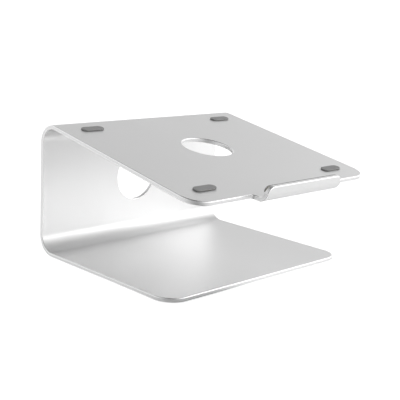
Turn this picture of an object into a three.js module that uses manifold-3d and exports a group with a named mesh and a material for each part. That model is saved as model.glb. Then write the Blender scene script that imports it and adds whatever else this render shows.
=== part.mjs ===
// Laptop stand bent from one aluminium sheet: a flat base, an upright back and a sloping deck with
// a turned-up front lip. Stick-on rubber pads carry the laptop, and stick-on feet carry the stand.
//
// Millimetres, +Z up, the front is -Y. The origin is on the table, below the middle of the stand.

import * as THREE from 'three';
import { mergeVertices } from 'three/addons/utils/BufferGeometryUtils.js';
import Module from 'manifold-3d';

const wasm = await Module();
wasm.setup();

// Sheet
const WIDTH = 260;
const SHEET = 4.5;
const BEND_RADIUS = 21; // outside of both bends
const CORNER_RADIUS = 22; // free corners of the base and the deck
const BASE_DEPTH = 208; // outer face of the back to the base's front edge
const BACK_HEIGHT = 146; // underside of the base to the sharp corner outside the upper bend
const DECK_LENGTH = 240; // the same sharp corner to the deck's front edge, down the slope
const DECK_TILT = THREE.MathUtils.degToRad(10.7);

// Round holes
const HOLE_RADIUS = 27.5;
const CABLE_HOLE_HEIGHT = BACK_HEIGHT / 2;
const VENT_HOLE_DISTANCE = DECK_LENGTH / 2; // from the sharp rear corner, down the slope

// Front lip, bent up square to the deck
const LIP_WIDTH = 111;
const LIP_REACH = 16.5; // the deck's front edge to the lip's outer face
const LIP_RISE = 13; // above the deck's upper face
const LIP_BEND_RADIUS = 11; // outside of the lip's bend
const LIP_CORNER_RADIUS = 8;
const NECK_FILLET = 4; // where the lip's neck leaves the deck

// Stick-on rubber
const PAD_LENGTH = 27;
const PAD_WIDTH = 10;
const DECK_PAD_THICKNESS = 0.8;
const FOOT_THICKNESS = 1.3;
const PAD_EDGE_RADIUS = 0.3;
const FILM_THICKNESS = 0.2; // double-sided adhesive film
const FILM_INSET = 0.1; // the film's edge inside the rubber's
const CONTACT_GAP = 0.3; // between one layer and the next
const PAD_SIDE_INSET = 35.5; // pad centre to the sheet's side edge
const PAD_FRONT_INSET = 26; // pad centre to the sheet's front edge
const PAD_REAR_INSET = 43; // pad centre to the sharp rear corner
const LINER_THICKNESS = 0.8; // strip inside the lip
const LINER_INSET = 0.5; // the strip's edge inside the lip's

// Facets
const BEND_STEPS = 16;
const HOLE_FACETS = 64;
const ARC_DIVISIONS = 10; // per arc of an extruded outline

// Cutters
const CUT_MARGIN = 2; // how far a cutter's outer edges stand clear of the sheet
const CUT_DEPTH = 3 * SHEET; // enough to pass right through the sheet

// Worked out
const HALF_WIDTH = WIDTH / 2;
const FOOT_STACK = CONTACT_GAP + FILM_THICKNESS + CONTACT_GAP + FOOT_THICKNESS;
const LIP_FACE = DECK_LENGTH + LIP_REACH; // outer face of the lip, down the slope
const LIP_INNER_FACE = LIP_FACE - SHEET;
const LIP_BEND_START = LIP_FACE - LIP_BEND_RADIUS;
const LIP_BEND_TOP = LIP_BEND_RADIUS - SHEET; // where the lip becomes flat, above the deck
const TOTAL_DEPTH = LIP_FACE * Math.cos(DECK_TILT) + LIP_RISE * Math.sin(DECK_TILT);

const metal = () => new THREE.MeshStandardMaterial({ color: 0xc9cacc, roughness: 0.45, metalness: 1 });
const rubber = () => new THREE.MeshStandardMaterial({ color: 0x77797b, roughness: 0.85, metalness: 0 });
const film = () => new THREE.MeshStandardMaterial({ color: 0xd9d4c4, roughness: 0.6, metalness: 0 });

function toManifold(geometry) {
  const bare = geometry.clone();
  bare.deleteAttribute('normal');
  bare.deleteAttribute('uv');
  const merged = mergeVertices(bare, 1e-4);
  return new wasm.Manifold(new wasm.Mesh({
    numProp: 3,
    vertProperties: Float32Array.from(merged.attributes.position.array),
    triVerts: Uint32Array.from(merged.index.array),
  }));
}

function toGeometry(manifold) {
  const mesh = manifold.getMesh();
  const geometry = new THREE.BufferGeometry();
  geometry.setAttribute('position', new THREE.BufferAttribute(mesh.vertProperties, 3));
  geometry.setIndex(new THREE.BufferAttribute(mesh.triVerts, 1));
  geometry.computeVertexNormals();
  return geometry;
}

// A plain extrusion along the shape's own z, from z = from.
function prism(shape, thickness, from = 0) {
  const geometry = new THREE.ExtrudeGeometry(shape, {
    depth: thickness,
    bevelEnabled: false,
    curveSegments: ARC_DIVISIONS,
  });
  return geometry.translate(0, 0, from);
}

// An extrusion whose shape is drawn in (y, z) and which runs along x, centred on x = 0.
function sideProfilePrism(shape, width) {
  const geometry = prism(shape, width, -width / 2);
  const yAxis = new THREE.Vector3(0, 1, 0);
  const zAxis = new THREE.Vector3(0, 0, 1);
  const xAxis = new THREE.Vector3(1, 0, 0);
  return geometry.applyMatrix4(new THREE.Matrix4().makeBasis(yAxis, zAxis, xAxis));
}

// Points of the arc that rounds a polyline's corner.
function cornerArc(before, corner, after, radius) {
  const toBefore = before.clone().sub(corner).normalize();
  const toAfter = after.clone().sub(corner).normalize();
  const halfAngle = Math.acos(toBefore.dot(toAfter)) / 2;
  const bisector = toBefore.clone().add(toAfter).normalize();
  const centre = bisector.multiplyScalar(radius / Math.sin(halfAngle)).add(corner);
  const start = toBefore.multiplyScalar(radius / Math.tan(halfAngle)).add(corner).sub(centre);
  const end = toAfter.multiplyScalar(radius / Math.tan(halfAngle)).add(corner).sub(centre);
  const turn = Math.atan2(start.cross(end), start.dot(end));
  const points = [];
  for (let step = 0; step <= BEND_STEPS; step += 1) {
    const spoke = start.clone().rotateAround(new THREE.Vector2(), turn * step / BEND_STEPS);
    points.push(spoke.add(centre));
  }
  return points;
}

// The sheet is drawn in the deck's frame: origin at the sharp rear corner, +y up the slope to the
// rear and +z square to the deck. The base and the back are level and upright in the stand's frame,
// so their corners are turned into the deck's.
function inDeckFrame(y, z) {
  return new THREE.Vector2(y, z - BACK_HEIGHT).rotateAround(new THREE.Vector2(), -DECK_TILT);
}

// Side view of the bent sheet: base, back and deck, without the lip.
function sheetProfile() {
  const innerCornerZ = BACK_HEIGHT - SHEET * (Math.tan(DECK_TILT) + 1 / Math.cos(DECK_TILT));
  const outer = [
    inDeckFrame(-BASE_DEPTH, 0),
    inDeckFrame(0, 0),
    inDeckFrame(0, BACK_HEIGHT),
    new THREE.Vector2(-DECK_LENGTH, 0),
  ];
  const inner = [
    inDeckFrame(-BASE_DEPTH, SHEET),
    inDeckFrame(-SHEET, SHEET),
    inDeckFrame(-SHEET, innerCornerZ),
    new THREE.Vector2(-DECK_LENGTH, -SHEET),
  ];
  const innerRadius = BEND_RADIUS - SHEET;
  return new THREE.Shape([
    outer[0],
    ...cornerArc(outer[0], outer[1], outer[2], BEND_RADIUS),
    ...cornerArc(outer[1], outer[2], outer[3], BEND_RADIUS),
    outer[3],
    inner[3],
    ...cornerArc(inner[3], inner[2], inner[1], innerRadius),
    ...cornerArc(inner[2], inner[1], inner[0], innerRadius),
    inner[0],
  ]);
}

// Side view of the lip, from a root inside the deck round its bend to its top edge.
function lipProfile() {
  const centreY = -LIP_BEND_START;
  const shape = new THREE.Shape();
  shape.moveTo(-DECK_LENGTH + CORNER_RADIUS, 0);
  shape.lineTo(centreY, 0);
  shape.absarc(centreY, LIP_BEND_TOP, LIP_BEND_RADIUS - SHEET, -Math.PI / 2, -Math.PI, true);
  shape.lineTo(-LIP_INNER_FACE, LIP_RISE);
  shape.lineTo(-LIP_FACE, LIP_RISE);
  shape.absarc(centreY, LIP_BEND_TOP, LIP_BEND_RADIUS, Math.PI, Math.PI * 1.5, false);
  shape.lineTo(-DECK_LENGTH + CORNER_RADIUS, -SHEET);
  return shape;
}

// What a rounding of the given radius takes off a square corner at the origin. The corner's
// material lies on the -x and -y sides.
function cornerWaste(radius) {
  const shape = new THREE.Shape();
  shape.moveTo(CUT_MARGIN, CUT_MARGIN);
  shape.lineTo(-radius, CUT_MARGIN);
  shape.lineTo(-radius, 0);
  shape.absarc(-radius, -radius, radius, Math.PI / 2, 0, true);
  shape.lineTo(CUT_MARGIN, -radius);
  return shape;
}

// The same waste for the right-hand and the left-hand corner of a front edge at y = frontY. It
// reaches up from z = from.
function frontCornerWastes(frontY, from) {
  return [1, -1].map((side) => {
    const geometry = prism(cornerWaste(CORNER_RADIUS), CUT_DEPTH, from);
    geometry.rotateZ(side > 0 ? -Math.PI / 2 : Math.PI);
    return geometry.translate(side * HALF_WIDTH, frontY, 0);
  });
}

// The sheet's fillet between the deck's front edge and one side of the lip's neck.
function neckFillet(side) {
  const shape = new THREE.Shape();
  const neckX = side * LIP_WIDTH / 2;
  const root = 1; // overlap into the deck and the neck
  shape.moveTo(neckX - side * root, -DECK_LENGTH + root);
  shape.lineTo(neckX + side * NECK_FILLET, -DECK_LENGTH + root);
  shape.lineTo(neckX + side * NECK_FILLET, -DECK_LENGTH);
  const start = Math.PI / 2;
  const end = side > 0 ? Math.PI : 0;
  shape.absarc(neckX + side * NECK_FILLET, -DECK_LENGTH - NECK_FILLET, NECK_FILLET, start, end, side < 0);
  shape.lineTo(neckX - side * root, -DECK_LENGTH - NECK_FILLET);
  return prism(shape, SHEET, -SHEET);
}

// A cutter for a round hole, along y and centred on the origin.
function drill() {
  return new THREE.CylinderGeometry(HOLE_RADIUS, HOLE_RADIUS, 2 * CUT_DEPTH, HOLE_FACETS);
}

function bentSheet() {
  let body = toManifold(sideProfilePrism(sheetProfile(), WIDTH));

  // Turns the stand's frame into the deck's, for cutters that are drawn level.
  const levelToDeck = new THREE.Matrix4().makeRotationX(-DECK_TILT);
  levelToDeck.multiply(new THREE.Matrix4().makeTranslation(0, 0, -BACK_HEIGHT));

  const deckWastes = frontCornerWastes(-DECK_LENGTH, -2 * SHEET);
  const baseWastes = frontCornerWastes(-BASE_DEPTH, -SHEET);
  baseWastes.forEach((waste) => waste.applyMatrix4(levelToDeck));

  const cableHole = drill().translate(0, 0, CABLE_HOLE_HEIGHT);
  cableHole.applyMatrix4(levelToDeck);
  const ventHole = drill().rotateX(Math.PI / 2);
  ventHole.translate(0, -VENT_HOLE_DISTANCE, 0);

  for (const waste of [...deckWastes, ...baseWastes, cableHole, ventHole]) {
    body = body.subtract(toManifold(waste));
  }

  let lip = toManifold(sideProfilePrism(lipProfile(), LIP_WIDTH));
  for (const side of [1, -1]) {
    const waste = prism(cornerWaste(LIP_CORNER_RADIUS), CUT_DEPTH, -SHEET);
    waste.rotateX(Math.PI / 2);
    waste.rotateZ(side > 0 ? 0 : Math.PI);
    waste.translate(side * LIP_WIDTH / 2, -LIP_INNER_FACE, LIP_RISE);
    lip = lip.subtract(toManifold(waste));
  }

  body = body.add(lip);
  body = body.add(toManifold(neckFillet(1)));
  body = body.add(toManifold(neckFillet(-1)));
  return new THREE.Mesh(toGeometry(body), metal());
}

// A slot-shaped outline with its long axis along x.
function obround(length, width) {
  const radius = width / 2;
  const reach = length / 2 - radius;
  const shape = new THREE.Shape();
  shape.absarc(reach, 0, radius, -Math.PI / 2, Math.PI / 2, false);
  shape.absarc(-reach, 0, radius, Math.PI / 2, Math.PI * 1.5, false);
  return shape;
}

// Rubber with its upper edge rounded over, from z = 0 up.
function padRubber(thickness) {
  const inset = PAD_EDGE_RADIUS;
  const outline = obround(PAD_LENGTH, PAD_WIDTH);
  const straight = toManifold(prism(outline, thickness - inset));
  const crown = new THREE.ExtrudeGeometry(outline, {
    depth: thickness - 2 * inset,
    bevelThickness: inset,
    bevelSize: inset,
    bevelOffset: -inset,
    bevelSegments: 2,
    curveSegments: ARC_DIVISIONS,
  }).translate(0, 0, inset);
  return toGeometry(straight.add(toManifold(crown)));
}

// One stick-on pad: adhesive film and rubber, standing on the group's own z = 0.
function stickOnPad(name, thickness) {
  const pad = new THREE.Group();
  const filmOutline = obround(PAD_LENGTH - 2 * FILM_INSET, PAD_WIDTH - 2 * FILM_INSET);
  const adhesive = new THREE.Mesh(prism(filmOutline, FILM_THICKNESS), film());
  adhesive.name = `${name}_adhesive`;
  adhesive.position.z = CONTACT_GAP;
  const body = new THREE.Mesh(padRubber(thickness), rubber());
  body.name = name;
  body.position.z = FILM_THICKNESS + 2 * CONTACT_GAP;
  pad.add(adhesive, body);
  return pad;
}

// The flat of the lip's inner face, drawn in (x, height above the deck), with its upper corners
// rounded like the lip's.
function linerOutline(inset) {
  const right = LIP_WIDTH / 2 - inset;
  const top = LIP_RISE - inset;
  const bottom = LIP_BEND_TOP + inset;
  const radius = Math.min(LIP_CORNER_RADIUS - inset, top - bottom);
  const shape = new THREE.Shape();
  shape.moveTo(-right, bottom);
  shape.lineTo(right, bottom);
  shape.absarc(right - radius, top - radius, radius, 0, Math.PI / 2, false);
  shape.absarc(-right + radius, top - radius, radius, Math.PI / 2, Math.PI, false);
  return shape;
}

// A layer on the lip's inner face. Its rear face is `standOff` behind the lip.
function linerLayer(name, material, inset, thickness, standOff) {
  const layer = new THREE.Mesh(prism(linerOutline(inset), thickness), material);
  layer.name = name;
  layer.rotation.x = Math.PI / 2;
  layer.position.y = -LIP_INNER_FACE + standOff;
  return layer;
}

const stand = new THREE.Group();
stand.name = 'laptop_stand';

// The deck's frame: sharp rear corner, turned down towards the front.
const deck = new THREE.Group();
deck.position.set(0, TOTAL_DEPTH / 2, FOOT_STACK + BACK_HEIGHT);
deck.rotation.x = DECK_TILT;
stand.add(deck);

const sheet = bentSheet();
sheet.name = 'bent_sheet';
deck.add(sheet);

// The base's underside: turned over, so its own +z points at the table and its +y to the front.
const underside = new THREE.Group();
underside.position.set(0, TOTAL_DEPTH / 2, FOOT_STACK);
underside.rotation.x = Math.PI;
stand.add(underside);

for (const [sideName, side] of [['left', -1], ['right', 1]]) {
  for (const [endName, rear] of [['front', false], ['rear', true]]) {
    const x = side * (HALF_WIDTH - PAD_SIDE_INSET);

    const pad = stickOnPad(`deck_pad_${endName}_${sideName}`, DECK_PAD_THICKNESS);
    pad.position.set(x, rear ? -PAD_REAR_INSET : -DECK_LENGTH + PAD_FRONT_INSET, 0);
    deck.add(pad);

    const foot = stickOnPad(`base_foot_${endName}_${sideName}`, FOOT_THICKNESS);
    foot.position.set(x, rear ? PAD_REAR_INSET : BASE_DEPTH - PAD_FRONT_INSET, 0);
    underside.add(foot);
  }
}

const filmStandOff = CONTACT_GAP + FILM_THICKNESS;
const linerStandOff = filmStandOff + CONTACT_GAP + LINER_THICKNESS;
const filmInset = LINER_INSET + FILM_INSET;
deck.add(linerLayer('lip_liner_adhesive', film(), filmInset, FILM_THICKNESS, filmStandOff));
deck.add(linerLayer('lip_liner', rubber(), LINER_INSET, LINER_THICKNESS, linerStandOff));

export default stand;
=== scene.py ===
"""Laptop stand bent from one aluminium sheet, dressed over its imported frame.

Run as a script: it registers its operators, calls each of them once and leaves a finished scene.
Lengths are in metres. The front of the stand is -Y, and the table is z = 0.
"""

import math
from collections import namedtuple

import bmesh
import bpy
from bpy.props import FloatProperty, FloatVectorProperty, PointerProperty
from mathutils import Matrix, Vector


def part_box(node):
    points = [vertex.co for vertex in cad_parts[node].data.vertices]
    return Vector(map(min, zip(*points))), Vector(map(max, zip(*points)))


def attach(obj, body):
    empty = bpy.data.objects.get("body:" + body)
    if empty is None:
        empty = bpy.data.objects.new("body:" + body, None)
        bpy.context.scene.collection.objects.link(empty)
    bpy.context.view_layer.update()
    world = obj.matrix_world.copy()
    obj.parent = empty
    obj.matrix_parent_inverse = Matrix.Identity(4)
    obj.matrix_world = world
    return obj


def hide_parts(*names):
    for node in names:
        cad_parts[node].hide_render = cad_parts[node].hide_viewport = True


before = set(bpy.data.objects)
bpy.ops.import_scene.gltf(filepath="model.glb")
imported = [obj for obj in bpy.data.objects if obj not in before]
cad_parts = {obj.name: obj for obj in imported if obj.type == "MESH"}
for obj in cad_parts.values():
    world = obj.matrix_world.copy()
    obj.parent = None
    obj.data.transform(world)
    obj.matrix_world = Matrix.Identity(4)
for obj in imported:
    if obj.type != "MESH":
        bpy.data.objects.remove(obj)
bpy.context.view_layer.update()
SHEET_LOW, SHEET_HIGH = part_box("bent_sheet")

bl_info = {
    "name": "Bent Laptop Stand",
    "version": (1, 0, 0),
    "blender": (4, 5, 0),
    "location": "3D View > Sidebar > Laptop Stand",
    "description": "Bent aluminium laptop stand with stick-on pads and feet",
    "category": "Object",
}

BODY = "root"

CORNER_STEPS = 16
HOLE_STEPS = 96
RIM_STEPS = 3
LOWER_BEND_STEPS = 24
UPPER_BEND_STEPS = 24
LIP_BEND_STEPS = 14
MERGE_DISTANCE = 0.00003
CUT_SNAP = 1e-7
CUT_MARGIN = 1e-6
LEVEL_NORMAL = 0.999

# Rims' colour over the faces': partly a polished cut edge, partly a painted highlight along it.
RIM_POLISH_AND_HIGHLIGHT = 1.1
FLOOR_HALF = 12.0
# How tightly the table's painted shade gathers towards the front left.
PAINTED_SHADE_SHARPNESS = 12.0

# For each quarter of the sky, which way it lies and how bright it is at each of these heights,
# from 0 at the horizon to 1 overhead.
SKY_HEIGHTS = (0.0, 0.4, 0.75, 1.0)
FRONT_LEFT = (-0.707, -0.707)
SKY_QUARTERS = {
    "back right": ((0.707, 0.707), (0.35, 1.05, 0.25, 0.10)),
    "front right": ((0.707, -0.707), (2.20, 2.30, 0.70, 0.10)),
    "front left": (FRONT_LEFT, (0.10, 0.15, 0.30, 0.10)),
    "back left": ((-0.707, 0.707), (0.90, 0.90, 0.60, 0.10)),
}

# Below the horizon the sky fades, and it has faded fully at this height.
SKY_BOTTOM = -0.3

PAD_PLACES = ("front_left", "front_right", "rear_left", "rear_right")


# ---------------------------------------------------------------- sizes and finishes


def length(name, description, default):
    return FloatProperty(name=name, description=description, default=default, min=0.0, unit="LENGTH")


def angle(name, description, degrees):
    return FloatProperty(name=name, description=description, default=math.radians(degrees), unit="ROTATION")


def amount(name, description, default, largest=1.0):
    return FloatProperty(name=name, description=description, default=default, min=0.0, max=largest)


def colour(name, description, default):
    return FloatVectorProperty(
        name=name, description=description, default=default, size=3, min=0.0, max=1.0, subtype="COLOR"
    )


class StandSheetSizes(bpy.types.PropertyGroup):
    width: length("Width", "Side to side", SHEET_HIGH.x - SHEET_LOW.x)
    thickness: length("Thickness", "Of the aluminium sheet", 0.0045)
    rim_radius: length("Rim radius", "Rounding of every cut edge", 0.0009)
    bend_radius: length("Bend radius", "Outside of the lower and the upper bend", 0.021)
    corner_radius: length("Corner radius", "Free corners of the base and the deck", 0.022)
    base_depth: length("Base depth", "Outer face of the back to the base's front edge", 0.208)
    back_height: length("Back height", "Underside of the base to the sharp upper corner", 0.146)
    deck_length: length("Deck length", "Sharp upper corner to the deck's front edge", 0.240)
    deck_tilt: angle("Deck tilt", "Fall of the deck towards the front", 10.7)
    hole_radius: length("Hole radius", "Cable hole and vent hole", 0.0275)
    lip_width: length("Lip width", "Side to side", 0.111)
    lip_reach: length("Lip reach", "Deck's front edge to the lip's outer face", 0.0165)
    lip_rise: length("Lip rise", "Above the deck's upper face", 0.013)
    lip_bend_radius: length("Lip bend radius", "Outside of the lip's bend", 0.011)
    lip_corner_radius: length("Lip corner radius", "Upper corners of the lip", 0.008)
    neck_fillet: length("Neck fillet", "Where the lip's neck leaves the deck", 0.004)


class StandPadSizes(bpy.types.PropertyGroup):
    length: length("Length", "Of a pad or a foot", 0.027)
    width: length("Width", "Of a pad or a foot", 0.010)
    pad_height: length("Pad height", "Film and rubber of a deck pad together", 0.0016)
    foot_height: length("Foot height", "Film and rubber of a foot together", 0.0021)
    film_thickness: length("Film thickness", "Of the adhesive film", 0.0002)
    film_inset: length("Film inset", "The film's edge inside the rubber's", 0.0001)
    edge_radius: length("Edge radius", "Rounding of the rubber's outer edge", 0.0005)
    liner_height: length("Liner height", "Film and rubber together, off the lip's inner face", 0.0016)
    liner_inset: length("Liner inset", "The liner's edge inside the lip's", 0.0005)


class StandFinishes(bpy.types.PropertyGroup):
    metal: colour("Metal", "Silver anodised aluminium", (0.88, 0.88, 0.88))
    metal_roughness: amount("Metal roughness", "Of the bead-blasted faces", 0.44)
    rim_roughness: amount("Rim roughness", "Of the rounded cut edges", 0.22)
    rubber: colour("Pad rubber", "Silicone rubber of the pads and the liner", (0.36, 0.36, 0.36))
    foot_rubber: colour("Foot rubber", "Silicone rubber of the feet", (0.20, 0.20, 0.205))
    film: colour("Adhesive film", "Edge of the double-sided film", (0.62, 0.60, 0.52))


class StandStudio(bpy.types.PropertyGroup):
    azimuth: angle("Azimuth", "Camera's turn round the stand from straight in front", -45.09)
    elevation: angle("Elevation", "Camera's height over the table, as an angle", 12.88)
    roll: angle("Roll", "Camera's lean", 2.91)
    distance: length("Distance", "Camera to the point it looks at", 0.91835)
    aim: FloatVectorProperty(
        name="Aim",
        description="Point the camera looks at",
        default=(-0.0003, 0.0160, 0.0665),
        size=3,
        unit="LENGTH",
    )
    focal_length: amount("Focal length", "In millimetres, on a 36 mm wide sensor", 76.48, 500.0)
    floor: colour("Floor", "Plain pale floor", (0.93, 0.93, 0.93))
    floor_glow: amount("Floor glow", "Light that the translucent table gives off itself", 0.32, 5.0)
    # Painted shade: this share darkens the table's front left, in reflections only.
    painted_table_shade: amount("Table fade", "How much darker the table's front left is in reflections", 0.7)
    backdrop: amount("Backdrop", "Seen by the camera beyond the floor, and added to the floor", 0.45, 5.0)
    sky_strength: amount("Sky strength", "Of the light from all round", 1.0, 20.0)
    below: amount("Below", "Share of that light left well below the table's height", 0.3)


# ---------------------------------------------------------------- material helpers


def add_node(tree, kind, **settings):
    node = tree.nodes.new(kind)
    for name, value in settings.items():
        setattr(node, name, value)
    return node


def set_inputs(node, **values):
    """Sets sockets by their names, in which an underscore stands for a space."""
    for name, value in values.items():
        node.inputs[name.replace("_", " ")].default_value = value
    return node


def new_group(name, inputs, outputs):
    """A shader node group with its named sockets, and its two end nodes."""
    tree = bpy.data.node_groups.new(name, "ShaderNodeTree")
    for label, kind, value in inputs:
        socket = tree.interface.new_socket(name=label, in_out="INPUT", socket_type=kind)
        socket.default_value = value
    for label, kind in outputs:
        tree.interface.new_socket(name=label, in_out="OUTPUT", socket_type=kind)
    return tree, add_node(tree, "NodeGroupInput"), add_node(tree, "NodeGroupOutput")


def place_group(tree, group, **values):
    node = add_node(tree, "ShaderNodeGroup", node_tree=group)
    return set_inputs(node, **values)


def math_node(tree, operation, *operands):
    """The output of a Math node. Each operand is a socket or a number."""
    node = add_node(tree, "ShaderNodeMath", operation=operation)
    for socket, operand in zip(node.inputs, operands):
        if isinstance(operand, (int, float)):
            socket.default_value = operand
        else:
            tree.links.new(operand, socket)
    return node.outputs[0]


def cloud_group():
    """Slow, soft unevenness of a finish: a number round zero that drifts over centimetres."""
    tree, start, end = new_group(
        "finish_clouds",
        [
            ("Vector", "NodeSocketVector", (0.0, 0.0, 0.0)),
            ("Scale", "NodeSocketFloat", 12.0),
            ("Amount", "NodeSocketFloat", 0.02),
        ],
        [("Value", "NodeSocketFloat")],
    )
    noise = add_node(tree, "ShaderNodeTexNoise", noise_dimensions="3D")
    set_inputs(noise, Detail=3.0, Roughness=0.55)
    tree.links.new(start.outputs["Vector"], noise.inputs["Vector"])
    tree.links.new(start.outputs["Scale"], noise.inputs["Scale"])
    centred = math_node(tree, "SUBTRACT", noise.outputs["Fac"], 0.5)
    tree.links.new(math_node(tree, "MULTIPLY", centred, start.outputs["Amount"]), end.inputs["Value"])
    return tree


def grain_group():
    """Fine matt grain, from a coarse and a fine noise together: a height and a sparse speck mask."""
    tree, start, end = new_group(
        "fine_grain",
        [
            ("Vector", "NodeSocketVector", (0.0, 0.0, 0.0)),
            ("Scale", "NodeSocketFloat", 2000.0),
        ],
        [("Height", "NodeSocketFloat"), ("Specks", "NodeSocketFloat")],
    )
    coarse = add_node(tree, "ShaderNodeTexNoise", noise_dimensions="3D")
    set_inputs(coarse, Detail=2.0, Roughness=0.6)
    fine = add_node(tree, "ShaderNodeTexVoronoi", voronoi_dimensions="3D", feature="F1")
    set_inputs(fine, Randomness=1.0)
    for texture in (coarse, fine):
        tree.links.new(start.outputs["Vector"], texture.inputs["Vector"])
    tree.links.new(start.outputs["Scale"], coarse.inputs["Scale"])
    finer = math_node(tree, "MULTIPLY", start.outputs["Scale"], 1.7)
    tree.links.new(finer, fine.inputs["Scale"])
    pits = math_node(tree, "MULTIPLY", fine.outputs["Distance"], 0.5)
    tree.links.new(math_node(tree, "ADD", coarse.outputs["Fac"], pits), end.inputs["Height"])
    specks = add_node(tree, "ShaderNodeMapRange")
    set_inputs(specks, From_Min=0.62, From_Max=0.78)
    tree.links.new(coarse.outputs["Fac"], specks.inputs["Value"])
    tree.links.new(specks.outputs["Result"], end.inputs["Specks"])
    return tree


def shared_group(name, make):
    return bpy.data.node_groups.get(name) or make()


def start_material(name):
    """A new material: its node tree, its Principled shader, its object coordinates, clouds and grain."""
    material = bpy.data.materials.new(name)
    material.use_nodes = True
    tree = material.node_tree
    shader = tree.nodes["Principled BSDF"]
    place = add_node(tree, "ShaderNodeTexCoord")
    clouds = place_group(tree, shared_group("finish_clouds", cloud_group))
    grain = place_group(tree, shared_group("fine_grain", grain_group))
    for group in (clouds, grain):
        tree.links.new(place.outputs["Object"], group.inputs["Vector"])
    return material, tree, shader, clouds, grain


def vary_colour(tree, base, change, target):
    """Feeds a colour whose brightness is multiplied by one plus the change."""
    factor = math_node(tree, "ADD", change, 1.0)
    scale = add_node(tree, "ShaderNodeVectorMath", operation="SCALE")
    if isinstance(base, bpy.types.NodeSocket):
        tree.links.new(base, scale.inputs[0])
    else:
        scale.inputs[0].default_value = base
    tree.links.new(factor, scale.inputs["Scale"])
    tree.links.new(scale.outputs[0], target)


def add_bump(tree, shader, height, strength, distance):
    bump = add_node(tree, "ShaderNodeBump")
    set_inputs(bump, Strength=strength, Distance=distance)
    tree.links.new(height, bump.inputs["Height"])
    tree.links.new(bump.outputs["Normal"], shader.inputs["Normal"])


def anodised_aluminium(finishes):
    """Bead-blasted, silver anodised sheet whose rounded rims are smoother and a little brighter: partly
    their polish, partly a painted highlight.
    """
    material, tree, shader, clouds, grain = start_material("bead_blasted_metal")
    set_inputs(shader, Metallic=1.0)
    set_inputs(clouds, Scale=9.0, Amount=0.05)
    set_inputs(grain, Scale=2600.0)

    rim = add_node(tree, "ShaderNodeAttribute", attribute_name="rim")
    mix = add_node(tree, "ShaderNodeMix", data_type="RGBA")
    mix.inputs["A"].default_value = (*finishes.metal, 1.0)
    # The rim faces get a brighter colour: partly polish, partly a painted highlight.
    bright = [min(1.0, channel * RIM_POLISH_AND_HIGHLIGHT) for channel in finishes.metal]
    mix.inputs["B"].default_value = (*bright, 1.0)
    tree.links.new(rim.outputs["Fac"], mix.inputs["Factor"])
    sparkle = math_node(tree, "MULTIPLY", grain.outputs["Specks"], 0.03)
    change = math_node(tree, "ADD", clouds.outputs["Value"], sparkle)
    vary_colour(tree, mix.outputs["Result"], change, shader.inputs["Base Color"])

    rim_change = finishes.rim_roughness - finishes.metal_roughness
    roughness = math_node(tree, "MULTIPLY", rim.outputs["Fac"], rim_change)
    roughness = math_node(tree, "ADD", roughness, finishes.metal_roughness)
    roughness = math_node(tree, "ADD", roughness, clouds.outputs["Value"])
    tree.links.new(roughness, shader.inputs["Roughness"])
    add_bump(tree, shader, grain.outputs["Height"], 0.12, 0.00004)
    return material


def silicone_rubber(name, base):
    """Matt die-cut silicone with a fine pebbled skin and a little dust in it."""
    material, tree, shader, clouds, grain = start_material(name)
    set_inputs(clouds, Scale=60.0, Amount=0.16)
    set_inputs(grain, Scale=1500.0)
    dust = math_node(tree, "MULTIPLY", grain.outputs["Specks"], 0.12)
    change = math_node(tree, "ADD", clouds.outputs["Value"], dust)
    vary_colour(tree, base, change, shader.inputs["Base Color"])
    roughness = math_node(tree, "ADD", clouds.outputs["Value"], 0.66)
    tree.links.new(roughness, shader.inputs["Roughness"])
    add_bump(tree, shader, grain.outputs["Height"], 0.35, 0.00008)
    return material


def adhesive_film(finishes):
    """Cloudy double-sided film, seen only as a thin edge."""
    material, tree, shader, clouds, grain = start_material("cloudy_film")
    set_inputs(clouds, Scale=220.0, Amount=0.2)
    set_inputs(grain, Scale=3000.0)
    vary_colour(tree, finishes.film, clouds.outputs["Value"], shader.inputs["Base Color"])
    roughness = math_node(tree, "ADD", clouds.outputs["Value"], 0.45)
    tree.links.new(roughness, shader.inputs["Roughness"])
    add_bump(tree, shader, grain.outputs["Height"], 0.2, 0.00003)
    return material


def pad_materials(finishes):
    """The rubber and the film of the pads and the liner, made once and then shared."""
    rubber = bpy.data.materials.get("pad_silicone") or silicone_rubber("pad_silicone", finishes.rubber)
    film = bpy.data.materials.get("cloudy_film") or adhesive_film(finishes)
    return rubber, film


# ---------------------------------------------------------------- mesh helpers


def finish_mesh(bm, name, material):
    """Turns a bmesh into a linked, smooth-shaded object at the origin."""
    bmesh.ops.recalc_face_normals(bm, faces=bm.faces[:])
    for face in bm.faces:
        face.smooth = True
    mesh = bpy.data.meshes.new(name)
    bm.to_mesh(mesh)
    bm.free()
    mesh.materials.append(material)
    piece = bpy.data.objects.new(name, mesh)
    bpy.context.scene.collection.objects.link(piece)
    normals = piece.modifiers.new("flat_faces_stay_flat", "WEIGHTED_NORMAL")
    normals.mode = "FACE_AREA"
    normals.weight = 80
    return piece


def show_as(piece, node):
    """Lets a piece ride the stand's one body in place of the frame's plain node."""
    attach(piece, BODY)
    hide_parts(node)


def draw_outline(bm, points):
    """A flat polygon whose corners are rounded, from (x, y, corner radius) in order."""
    corners = [(bm.verts.new((x, y, 0.0)), radius) for x, y, radius in points]
    bm.faces.new([corner for corner, radius in corners])
    for corner, radius in corners:
        if radius > 0.0:
            bmesh.ops.bevel(
                bm,
                geom=[corner],
                offset=radius,
                offset_type="OFFSET",
                segments=CORNER_STEPS,
                profile=0.5,
                affect="VERTICES",
                material=-1,
            )
    bmesh.ops.remove_doubles(bm, verts=bm.verts[:], dist=MERGE_DISTANCE)


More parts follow.
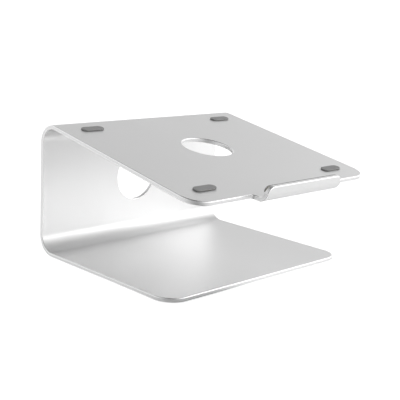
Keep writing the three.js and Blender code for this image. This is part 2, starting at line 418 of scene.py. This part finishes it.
def pierce(bm, centres, radius):
    """Cuts round holes in the flat outline, at points along its middle line."""
    bmesh.ops.delete(bm, geom=bm.faces[:], context="FACES_ONLY")
    for y in centres:
        bmesh.ops.create_circle(
            bm, cap_ends=False, radius=radius, segments=HOLE_STEPS, matrix=Matrix.Translation((0.0, y, 0.0))
        )
    bmesh.ops.triangle_fill(
        bm, use_beauty=True, use_dissolve=False, edges=bm.edges[:], normal=(0.0, 0.0, 1.0)
    )


def round_over(bm, faces, radius, rim):
    """Steps a flat cap inwards and outwards, so that its edge becomes a quarter round."""
    for step in range(RIM_STEPS):
        before, after = (math.pi / 2 * part / RIM_STEPS for part in (step, step + 1))
        ring = bmesh.ops.inset_region(
            bm,
            faces=faces,
            use_boundary=True,
            use_even_offset=True,
            thickness=radius * (math.cos(before) - math.cos(after)),
            depth=radius * (math.sin(after) - math.sin(before)),
        )["faces"]
        for face in ring:
            face[rim] = 1.0


def thicken(bm, thickness, upper_radius, lower_radius):
    """Gives a flat outline in the z = 0 plane its thickness, upwards, with rounded rims."""
    rim = bm.faces.layers.float.new("rim")
    lower, low_verts = bm.faces[:], bm.verts[:]
    grown = bmesh.ops.extrude_face_region(bm, geom=lower, use_keep_orig=True)["geom"]
    upper = [item for item in grown if isinstance(item, bmesh.types.BMFace)]
    high_verts = [item for item in grown if isinstance(item, bmesh.types.BMVert)]
    bmesh.ops.translate(bm, vec=(0.0, 0.0, thickness - upper_radius), verts=high_verts)
    bmesh.ops.translate(bm, vec=(0.0, 0.0, lower_radius), verts=low_verts)
    bmesh.ops.recalc_face_normals(bm, faces=bm.faces[:])
    if upper_radius > 0.0:
        round_over(bm, upper, upper_radius, rim)
    if lower_radius > 0.0:
        round_over(bm, lower, lower_radius, rim)


# ---------------------------------------------------------------- the bent sheet


Bend = namedtuple("Bend", "start run turn axis_height steps")


def blank_layout(sizes):
    """Where the bends and the edges lie on the flat blank, from the base's front edge."""
    half_sheet = sizes.thickness / 2
    upper_turn = math.pi / 2 + sizes.deck_tilt
    lower_tangent = sizes.bend_radius
    upper_tangent = sizes.bend_radius * math.tan(upper_turn / 2)
    middle_radius = sizes.bend_radius - half_sheet

    lower = sizes.base_depth - lower_tangent
    back = lower + middle_radius * math.pi / 2
    upper = back + sizes.back_height - lower_tangent - upper_tangent
    deck = upper + middle_radius * upper_turn
    deck_edge = deck + sizes.deck_length - upper_tangent
    lip_bend = deck_edge + sizes.lip_reach - sizes.lip_bend_radius
    lip_run = (sizes.lip_bend_radius - half_sheet) * math.pi / 2
    lip_edge = lip_bend + lip_run + sizes.lip_rise - (sizes.lip_bend_radius - sizes.thickness)

    lip_axis = sizes.thickness - sizes.lip_bend_radius
    bends = (
        Bend(lip_bend, lip_run, -math.pi / 2, lip_axis, LIP_BEND_STEPS),
        Bend(upper, middle_radius * upper_turn, upper_turn, sizes.bend_radius, UPPER_BEND_STEPS),
        Bend(lower, middle_radius * math.pi / 2, math.pi / 2, sizes.bend_radius, LOWER_BEND_STEPS),
    )
    holes = (
        back + sizes.back_height / 2 - lower_tangent,
        deck + sizes.deck_length / 2 - upper_tangent,
    )
    return bends, holes, deck_edge, lip_edge


def blank_outline(sizes, deck_edge, lip_edge):
    """The right half's corners from the front of the base to the lip, then the left half's back."""
    right = [
        (sizes.width / 2, 0.0, sizes.corner_radius),
        (sizes.width / 2, deck_edge, sizes.corner_radius),
        (sizes.lip_width / 2, deck_edge, sizes.neck_fillet),
        (sizes.lip_width / 2, lip_edge, sizes.lip_corner_radius),
    ]
    return right + [(-x, y, radius) for x, y, radius in reversed(right)]


def crease(bm, bend):
    """Cuts the flat blank across a bend, and clears away any other edge between the cuts."""
    cuts = [bend.start + bend.run * step / bend.steps for step in range(bend.steps + 1)]
    for y in cuts:
        everything = bm.verts[:] + bm.edges[:] + bm.faces[:]
        bmesh.ops.bisect_plane(
            bm, geom=everything, dist=CUT_SNAP, plane_co=(0.0, y, 0.0), plane_no=(0.0, 1.0, 0.0)
        )
    for near, far in zip(cuts, cuts[1:]):
        for side in (1.0, -1.0):
            strip = [
                face
                for face in bm.faces
                if near < face.calc_center_median().y < far and face.normal.z * side > LEVEL_NORMAL
            ]
            if len(strip) > 1:
                bmesh.ops.dissolve_faces(bm, faces=strip, use_verts=False)
    loose = [
        vert
        for vert in bm.verts
        if len(vert.link_edges) == 2 and cuts[0] - CUT_MARGIN < vert.co.y < cuts[-1] + CUT_MARGIN
    ]
    bmesh.ops.dissolve_verts(bm, verts=loose)


def fold(bm, run, bend):
    """Wraps the blank round a bend's axis, and carries everything beyond the bend with it."""
    axis = Vector((0.0, bend.start, bend.axis_height))
    for vert in bm.verts:
        into = min(vert[run] - bend.start, bend.run)
        if into > 0.0:
            turned = Matrix.Rotation(bend.turn * into / bend.run, 3, "X")
            vert.co = axis + turned @ (vert.co - Vector((0.0, into, 0.0)) - axis)


def bent_sheet_mesh(sizes):
    """The sheet, from flat blank to finished bends, standing in its place in the frame."""
    bm = bmesh.new()
    bends, holes, deck_edge, lip_edge = blank_layout(sizes)
    draw_outline(bm, blank_outline(sizes, deck_edge, lip_edge))
    pierce(bm, holes, sizes.hole_radius)
    thicken(bm, sizes.thickness, sizes.rim_radius, sizes.rim_radius)
    for bend in bends:
        crease(bm, bend)
    run = bm.verts.layers.float.new("run")
    for vert in bm.verts:
        vert[run] = vert.co.y
    for bend in bends:
        fold(bm, run, bend)
    bmesh.ops.translate(bm, vec=(0.0, SHEET_HIGH.y - sizes.base_depth, SHEET_LOW.z), verts=bm.verts[:])
    return bm


def deck_frame(sizes):
    """Turns the deck's own frame into the stand's: sharp rear corner, +Y up the slope, +Z square up."""
    corner = Matrix.Translation((0.0, SHEET_HIGH.y, SHEET_LOW.z + sizes.back_height))
    return corner @ Matrix.Rotation(sizes.deck_tilt, 4, "X")


# ---------------------------------------------------------------- rubber


def slot_points(long, wide):
    """Corners of a slot-shaped outline."""
    x, y = long / 2, wide / 2
    return [(x, -y, y), (x, y, y), (-x, y, y), (-x, -y, y)]


def slot_slab(long, wide, low, high, edge_radius):
    """A flat slot-shaped slab from low to high, with its upper edge rounded."""
    bm = bmesh.new()
    draw_outline(bm, slot_points(long, wide))
    thicken(bm, high - low, edge_radius, 0.0)
    bmesh.ops.translate(bm, vec=(0.0, 0.0, low), verts=bm.verts[:])
    return bm


def stick_on_pad(node, pads, height, placing, rubber, film):
    """Film and rubber of one pad. placing turns the pad's own frame into the stand's."""
    trim = 2 * pads.film_inset
    skin = slot_slab(pads.length - trim, pads.width - trim, 0.0, pads.film_thickness, 0.0)
    body = slot_slab(pads.length, pads.width, pads.film_thickness, height, pads.edge_radius)
    for bm in (skin, body):
        bmesh.ops.transform(bm, matrix=placing, verts=bm.verts[:])
    show_as(finish_mesh(skin, f"{node}_film", film), f"{node}_adhesive")
    show_as(finish_mesh(body, f"{node}_rubber", rubber), node)


def middle(node):
    low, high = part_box(node)
    return (low + high) / 2


def liner_slab(sizes, inset, low, high, edge_radius):
    """A strip in the lip's outline, drawn in (x, height above the deck), from low to high off the lip."""
    half = sizes.lip_width / 2 - inset
    top = sizes.lip_rise - inset
    bottom = sizes.lip_bend_radius - sizes.thickness + inset
    radius = min(sizes.lip_corner_radius - inset, top - bottom)
    bm = bmesh.new()
    draw_outline(bm, [(half, bottom, 0.0), (half, top, radius), (-half, top, radius), (-half, bottom, 0.0)])
    thicken(bm, high - low, edge_radius, 0.0)
    bmesh.ops.translate(bm, vec=(0.0, 0.0, low), verts=bm.verts[:])
    return bm


# ---------------------------------------------------------------- stage


def painted_shade_side(tree):
    """A mask of the table's painted shade: 1 straight towards the dark front left, and fading out sideways.
    """
    place = add_node(tree, "ShaderNodeTexCoord")
    outwards = add_node(tree, "ShaderNodeVectorMath", operation="NORMALIZE")
    tree.links.new(place.outputs["Object"], outwards.inputs[0])
    facing = add_node(tree, "ShaderNodeVectorMath", operation="DOT_PRODUCT")
    tree.links.new(outwards.outputs[0], facing.inputs[0])
    facing.inputs[1].default_value = (*FRONT_LEFT, 0.0)
    ahead = math_node(tree, "MAXIMUM", facing.outputs["Value"], 0.0)
    return math_node(tree, "POWER", ahead, PAINTED_SHADE_SHARPNESS)


def table_material(studio):
    """Pale and softly glowing. In reflections it carries painted shade, darker towards the unlit front
    left.
    """
    material = bpy.data.materials.new("pale_table")
    material.use_nodes = True
    tree = material.node_tree
    shader = tree.nodes["Principled BSDF"]
    set_inputs(shader, Roughness=0.9, Emission_Color=(1.0, 1.0, 1.0, 1.0))
    seen = add_node(tree, "ShaderNodeLightPath").outputs["Is Camera Ray"]
    reflected = math_node(tree, "SUBTRACT", 1.0, seen)
    # Painted shade: in reflections only, the table's colour and glow are darkened towards the front left.
    fade = math_node(tree, "MULTIPLY", painted_shade_side(tree), -studio.painted_table_shade)
    fade = math_node(tree, "MULTIPLY", fade, reflected)
    vary_colour(tree, studio.floor, fade, shader.inputs["Base Color"])
    glow = math_node(tree, "MULTIPLY", math_node(tree, "ADD", fade, 1.0), studio.floor_glow)
    glow = math_node(tree, "ADD", math_node(tree, "MULTIPLY", seen, studio.backdrop), glow)
    tree.links.new(glow, shader.inputs["Emission Strength"])
    return material


def lay_floor(studio):
    bm = bmesh.new()
    bmesh.ops.create_grid(bm, x_segments=2, y_segments=2, size=FLOOR_HALF)
    mesh = bpy.data.meshes.new("floor")
    bm.to_mesh(mesh)
    bm.free()
    mesh.materials.append(table_material(studio))
    floor = bpy.data.objects.new("floor", mesh)
    bpy.context.scene.collection.objects.link(floor)


def quarter_light(tree, split, aim, strengths):
    """Light from one quarter of the sky: its strength by height, fading out a quarter turn away."""
    x, y, z = split.outputs
    heights = add_node(tree, "ShaderNodeValToRGB")
    ramp = heights.color_ramp
    ramp.elements.remove(ramp.elements[1])
    for index, (height, strength) in enumerate(zip(SKY_HEIGHTS, strengths)):
        element = ramp.elements.new(height) if index else ramp.elements[0]
        element.position = height
        element.color = (strength, strength, strength, 1.0)
    tree.links.new(z, heights.inputs["Fac"])

    across = math_node(tree, "MULTIPLY", x, aim[0])
    along = math_node(tree, "ADD", across, math_node(tree, "MULTIPLY", y, aim[1]))
    # Just over 1, so that the level part of the direction isn't zero straight overhead.
    level = math_node(tree, "SUBTRACT", 1.0001, math_node(tree, "MULTIPLY", z, z))
    level = math_node(tree, "SQRT", level)
    facing = math_node(tree, "MAXIMUM", math_node(tree, "DIVIDE", along, level), 0.0)
    fade = math_node(tree, "MULTIPLY", facing, facing)
    return math_node(tree, "MULTIPLY", heights.outputs["Color"], fade)


def light_studio(studio):
    """Soft light from all round, strongest from a wide source at the front right."""
    world = bpy.data.worlds.new("studio")
    world.use_nodes = True
    tree = world.node_tree
    place = add_node(tree, "ShaderNodeTexCoord")
    split = add_node(tree, "ShaderNodeSeparateXYZ")
    tree.links.new(place.outputs["Generated"], split.inputs[0])
    total = 0.0
    for aim, strengths in SKY_QUARTERS.values():
        total = math_node(tree, "ADD", quarter_light(tree, split, aim, strengths), total)
    fade = add_node(tree, "ShaderNodeMapRange")
    set_inputs(fade, From_Min=SKY_BOTTOM, From_Max=0.0, To_Min=studio.below)
    tree.links.new(split.outputs["Z"], fade.inputs["Value"])
    total = math_node(tree, "MULTIPLY", total, fade.outputs["Result"])
    seen = add_node(tree, "ShaderNodeLightPath").outputs["Is Camera Ray"]
    backdrop = math_node(tree, "MULTIPLY", seen, 1.0 + studio.backdrop)
    total = math_node(tree, "MAXIMUM", total, backdrop)
    background = set_inputs(tree.nodes["Background"], Color=(1.0, 1.0, 1.0, 1.0))
    strength = math_node(tree, "MULTIPLY", total, studio.sky_strength)
    tree.links.new(strength, background.inputs["Strength"])
    bpy.context.scene.world = world
    bpy.context.scene.view_settings.view_transform = "Standard"


def aim_camera(studio):
    data = bpy.data.cameras.new("camera")
    data.sensor_width = 36.0
    data.lens = studio.focal_length
    turn = Matrix.Rotation(studio.azimuth, 4, "Z")
    turn = turn @ Matrix.Rotation(math.pi / 2 - studio.elevation, 4, "X")
    turn = turn @ Matrix.Rotation(studio.roll, 4, "Z")
    place = Vector(studio.aim) + turn.col[2].xyz * studio.distance
    camera = bpy.data.objects.new("camera", data)
    camera.matrix_world = Matrix.Translation(place) @ turn
    bpy.context.scene.collection.objects.link(camera)
    bpy.context.scene.camera = camera


# ---------------------------------------------------------------- operators


class STAND_OT_add_sheet(bpy.types.Operator):
    """Cut, round over and bend the aluminium sheet"""

    bl_idname = "laptop_stand.add_sheet"
    bl_label = "Add Bent Sheet"

    def execute(self, context):
        bm = bent_sheet_mesh(context.scene.stand_sheet)
        piece = finish_mesh(bm, "aluminium_sheet", anodised_aluminium(context.scene.stand_finishes))
        show_as(piece, "bent_sheet")
        return {"FINISHED"}


class STAND_OT_add_pads(bpy.types.Operator):
    """Stick the four pads on the deck"""

    bl_idname = "laptop_stand.add_pads"
    bl_label = "Add Deck Pads"

    def execute(self, context):
        scene = context.scene
        pads, finishes = scene.stand_pads, scene.stand_finishes
        rubber, film = pad_materials(finishes)
        deck = deck_frame(scene.stand_sheet)
        for place in PAD_PLACES:
            node = f"deck_pad_{place}"
            spot = deck.inverted() @ middle(node)
            placing = deck @ Matrix.Translation((spot.x, spot.y, 0.0))
            stick_on_pad(node, pads, pads.pad_height, placing, rubber, film)
        return {"FINISHED"}


class STAND_OT_add_feet(bpy.types.Operator):
    """Stick the four feet under the base"""

    bl_idname = "laptop_stand.add_feet"
    bl_label = "Add Feet"

    def execute(self, context):
        scene = context.scene
        pads, finishes = scene.stand_pads, scene.stand_finishes
        rubber = silicone_rubber("foot_silicone", finishes.foot_rubber)
        film = pad_materials(finishes)[1]
        for place in PAD_PLACES:
            node = f"base_foot_{place}"
            spot = middle(node)
            placing = Matrix.Translation((spot.x, spot.y, SHEET_LOW.z)) @ Matrix.Rotation(math.pi, 4, "X")
            stick_on_pad(node, pads, pads.foot_height, placing, rubber, film)
        return {"FINISHED"}


class STAND_OT_add_liner(bpy.types.Operator):
    """Stick the rubber strip inside the lip"""

    bl_idname = "laptop_stand.add_liner"
    bl_label = "Add Lip Liner"

    def execute(self, context):
        scene = context.scene
        sizes, pads = scene.stand_sheet, scene.stand_pads
        rubber, film = pad_materials(scene.stand_finishes)
        inner_face = sizes.deck_length + sizes.lip_reach - sizes.thickness
        on_lip = deck_frame(sizes) @ Matrix.Translation((0.0, -inner_face, 0.0))
        on_lip = on_lip @ Matrix.Rotation(math.pi, 4, "Z") @ Matrix.Rotation(math.pi / 2, 4, "X")
        film_inset = pads.liner_inset + pads.film_inset
        skin = liner_slab(sizes, film_inset, 0.0, pads.film_thickness, 0.0)
        body = liner_slab(sizes, pads.liner_inset, pads.film_thickness, pads.liner_height, pads.edge_radius)
        for bm in (skin, body):
            bmesh.ops.transform(bm, matrix=on_lip, verts=bm.verts[:])
        show_as(finish_mesh(skin, "lip_liner_film", film), "lip_liner_adhesive")
        show_as(finish_mesh(body, "lip_liner_rubber", rubber), "lip_liner")
        return {"FINISHED"}


class STAND_OT_add_stage(bpy.types.Operator):
    """Lay the floor, light the stand softly and aim the camera"""

    bl_idname = "laptop_stand.add_stage"
    bl_label = "Add Stage, Lights and Camera"

    def execute(self, context):
        studio = context.scene.stand_studio
        lay_floor(studio)
        light_studio(studio)
        aim_camera(studio)
        return {"FINISHED"}


# ---------------------------------------------------------------- panel and start


OPERATORS = (
    STAND_OT_add_sheet,
    STAND_OT_add_pads,
    STAND_OT_add_feet,
    STAND_OT_add_liner,
    STAND_OT_add_stage,
)


class STAND_PT_panel(bpy.types.Panel):
    """Lists the steps that make the laptop stand"""

    bl_label = "Laptop Stand"
    bl_space_type = "VIEW_3D"
    bl_region_type = "UI"
    bl_category = "Laptop Stand"

    def draw(self, context):
        for operator in OPERATORS:
            self.layout.operator(operator.bl_idname)


SETTINGS = {
    "stand_sheet": StandSheetSizes,
    "stand_pads": StandPadSizes,
    "stand_finishes": StandFinishes,
    "stand_studio": StandStudio,
}
CLASSES = (*SETTINGS.values(), *OPERATORS, STAND_PT_panel)


def register():
    for cls in CLASSES:
        bpy.utils.register_class(cls)
    for name, group in SETTINGS.items():
        setattr(bpy.types.Scene, name, PointerProperty(type=group))


def unregister():
    for name in SETTINGS:
        delattr(bpy.types.Scene, name)
    for cls in reversed(CLASSES):
        bpy.utils.unregister_class(cls)


def main():
    register()
    bpy.ops.laptop_stand.add_sheet()
    bpy.ops.laptop_stand.add_pads()
    bpy.ops.laptop_stand.add_feet()
    bpy.ops.laptop_stand.add_liner()
    bpy.ops.laptop_stand.add_stage()


if __name__ == "__main__":
    main()
